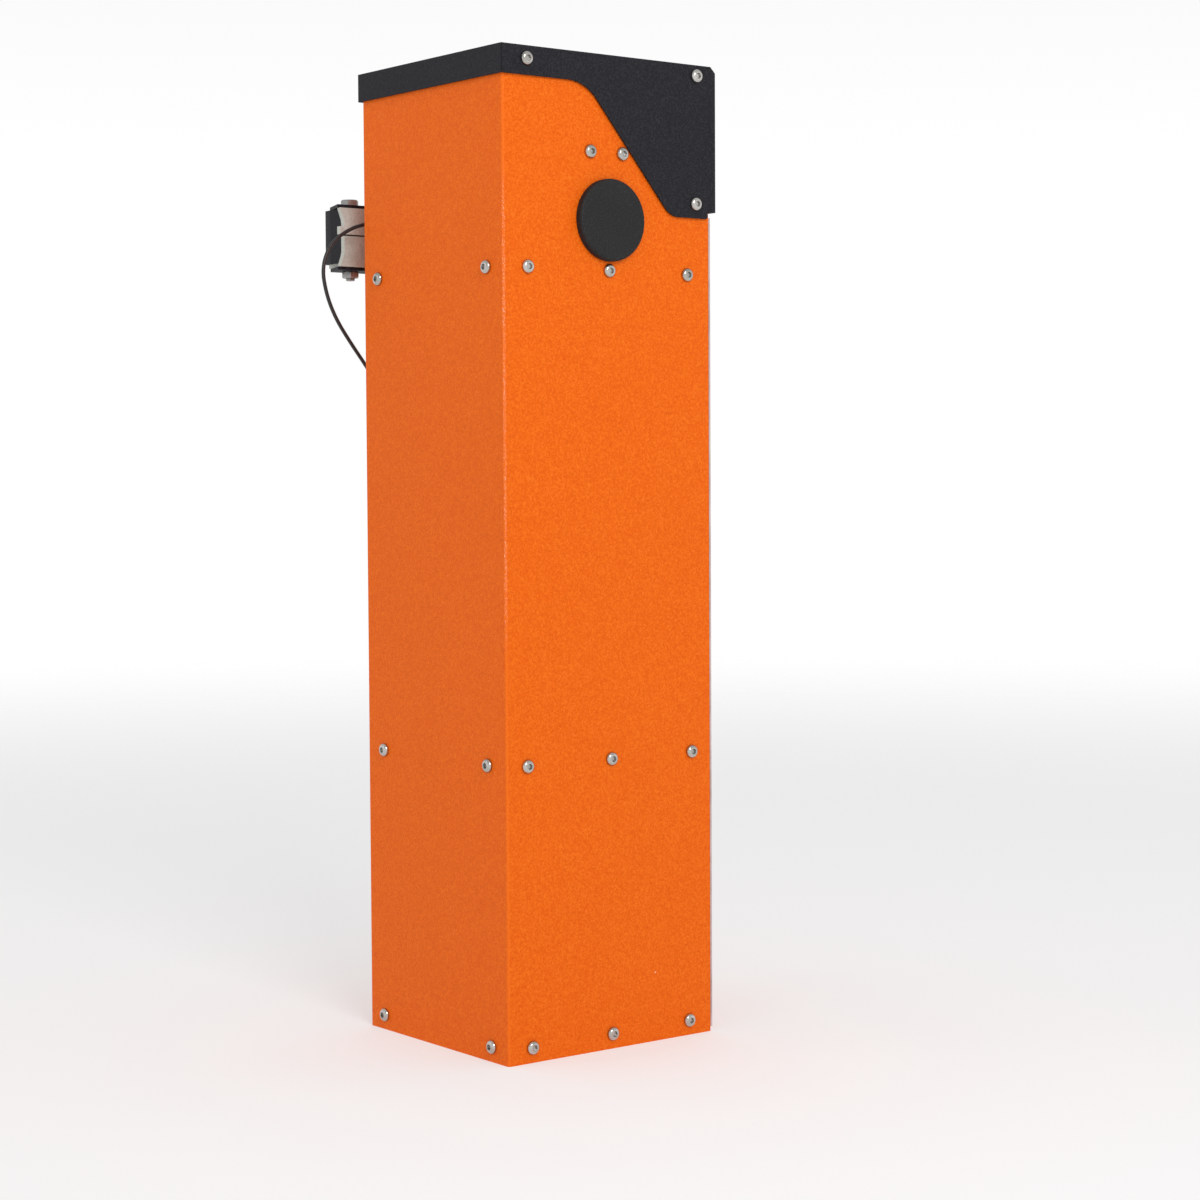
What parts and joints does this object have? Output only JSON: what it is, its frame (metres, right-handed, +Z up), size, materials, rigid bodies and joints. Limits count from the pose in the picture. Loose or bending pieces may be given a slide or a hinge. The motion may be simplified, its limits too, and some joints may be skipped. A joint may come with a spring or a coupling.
{
  "type": "parking barrier gate",
  "caption": "Orange steel parking barrier cabinet with black rain hood, boom shaft with split clamp, crank drive, balance spring and side door.",
  "frame": {"origin": "centre of the floor plate's underside, at the middle of the four anchor holes", "axes": "+Z up, +Y from the cabinet out to the boom clamp along the boom shaft, +X out through the door"},
  "size_m": [0.3132, 0.342, 1],
  "materials": {
    "orange_powder_coat": "fine speckled satin powder coat",
    "black_powder_coat": "fine textured matt powder coat",
    "galvanised_steel": "galvanised",
    "stainless_steel": "bright stainless",
    "zinc_plated_steel": "zinc plated",
    "ground_steel": "ground and oiled",
    "cast_aluminium": "sand cast, dull",
    "cast_iron": "painted grey casting",
    "bronze": "worm wheel bronze",
    "spring_steel": "black oiled spring steel",
    "black_plastic": "matt moulded",
    "grey_plastic": "light grey moulded",
    "board_green": "circuit board",
    "transformer_steel": "varnished laminations",
    "black_rubber": "matt rubber",
    "cable_black": "black cable sheath"
  },
  "bodies": {
    "root": {"cabinet_shell": "orange_powder_coat", "corner_posts": "galvanised_steel", "base_plate": "galvanised_steel", "mid_shelf": "galvanised_steel", "drive_shelf": "galvanised_steel", "bearing_plate_left": "galvanised_steel", "bearing_plate_right": "galvanised_steel", "bearing_housing_left": "cast_iron", "bearing_housing_right": "cast_iron", "shell_spacers": "galvanised_steel", "bearing_bolts": "zinc_plated_steel", "gearbox_case": "cast_aluminium", "gearbox_cover": "cast_aluminium", "gearbox_plate": "galvanised_steel", "motor_housing": "cast_iron", "motor_end_cap": "cast_aluminium", "balance_spring": "spring_steel", "spring_eyebolt": "zinc_plated_steel", "stop_bridge": "galvanised_steel", "stop_buffers": "black_rubber", "switch_bracket": "black_powder_coat", "limit_switches": "black_plastic", "control_box": "grey_plastic", "control_box_lid": "grey_plastic", "control_board": "board_green", "transformer": "transformer_steel", "circuit_breaker": "grey_plastic", "hood": "black_powder_coat", "shaft_cover_cap": "black_plastic", "shaft_seal": "black_rubber", "boom_light_lead": "cable_black", "cable_gland": "black_plastic", "lead_connector": "black_plastic", "cable_clip": "galvanised_steel", "shell_screws": "stainless_steel", "hood_screws": "stainless_steel", "hinge_lower_halves": "orange_powder_coat"},
    "boom_carrier": {"boom_shaft": "ground_steel", "bearing_rings": "ground_steel", "drive_lever": "cast_iron", "lever_pins": "zinc_plated_steel", "limit_cams": "black_plastic", "clamp_upper": "cast_aluminium", "clamp_lower": "cast_aluminium", "clamp_straps": "black_powder_coat", "clamp_bolts": "zinc_plated_steel", "boom_plate": "black_powder_coat"},
    "crank": {"crank_arm": "cast_iron", "crank_pin": "zinc_plated_steel", "crank_shaft": "ground_steel", "worm_wheel": "bronze"},
    "rod": {"connecting_rod": "zinc_plated_steel"},
    "link": {"spring_link": "zinc_plated_steel"},
    "rotor": {"worm_shaft": "ground_steel", "handwheel": "black_plastic"},
    "door": {"door_panel": "orange_powder_coat", "door_edge_trim": "grey_plastic", "hinge_upper_halves": "orange_powder_coat", "lock_barrel": "stainless_steel"},
    "lock": {"lock_plug_cam": "stainless_steel"}
  },
  "joints": [
    {"name": "boom_lift", "type": "hinge", "parent": "root", "child": "boom_carrier", "pos_m": [0, 0.18, 0.8365], "axis": [0, 1, 0], "range_deg": [0, 90], "deforming": ["balance_spring"]},
    {"name": "crank_turn", "type": "hinge", "parent": "root", "child": "crank", "pos_m": [0, -0.033, 0.64], "axis": [0, 1, 0], "range_deg": [0, 90]},
    {"name": "rod_swing", "type": "hinge", "parent": "crank", "child": "rod", "pos_m": [-0.03182, -0.017, 0.60818], "axis": [0, 1, 0], "range_deg": [-90, 0]},
    {"name": "link_swing", "type": "hinge", "parent": "boom_carrier", "child": "link", "pos_m": [0.03182, -0.064, 0.86832], "axis": [0, 1, 0], "range_deg": [-90, 0]},
    {"name": "rotor_spin", "type": "hinge", "parent": "root", "child": "rotor", "pos_m": [-0.05, 0.04, 0.56], "axis": [0, 0, 1], "range_deg": [0, 3600]},
    {"name": "door_swing", "type": "hinge", "parent": "root", "child": "door", "pos_m": [0.1314, 0.1307, 0.43], "axis": [0, 0, 1], "range_deg": [0, 110]},
    {"name": "lock_turn", "type": "hinge", "parent": "door", "child": "lock", "pos_m": [0.13, -0.088, 0.43], "axis": [1, 0, 0], "range_deg": [0, 90]}
  ],
  "couplings": [
    {"joint": "crank_turn", "follows": "boom_lift", "ratio": 1},
    {"joint": "rod_swing", "follows": "boom_lift", "ratio": -1},
    {"joint": "link_swing", "follows": "boom_lift", "ratio": -1},
    {"joint": "rotor_spin", "follows": "boom_lift", "ratio": 40}
  ]
}
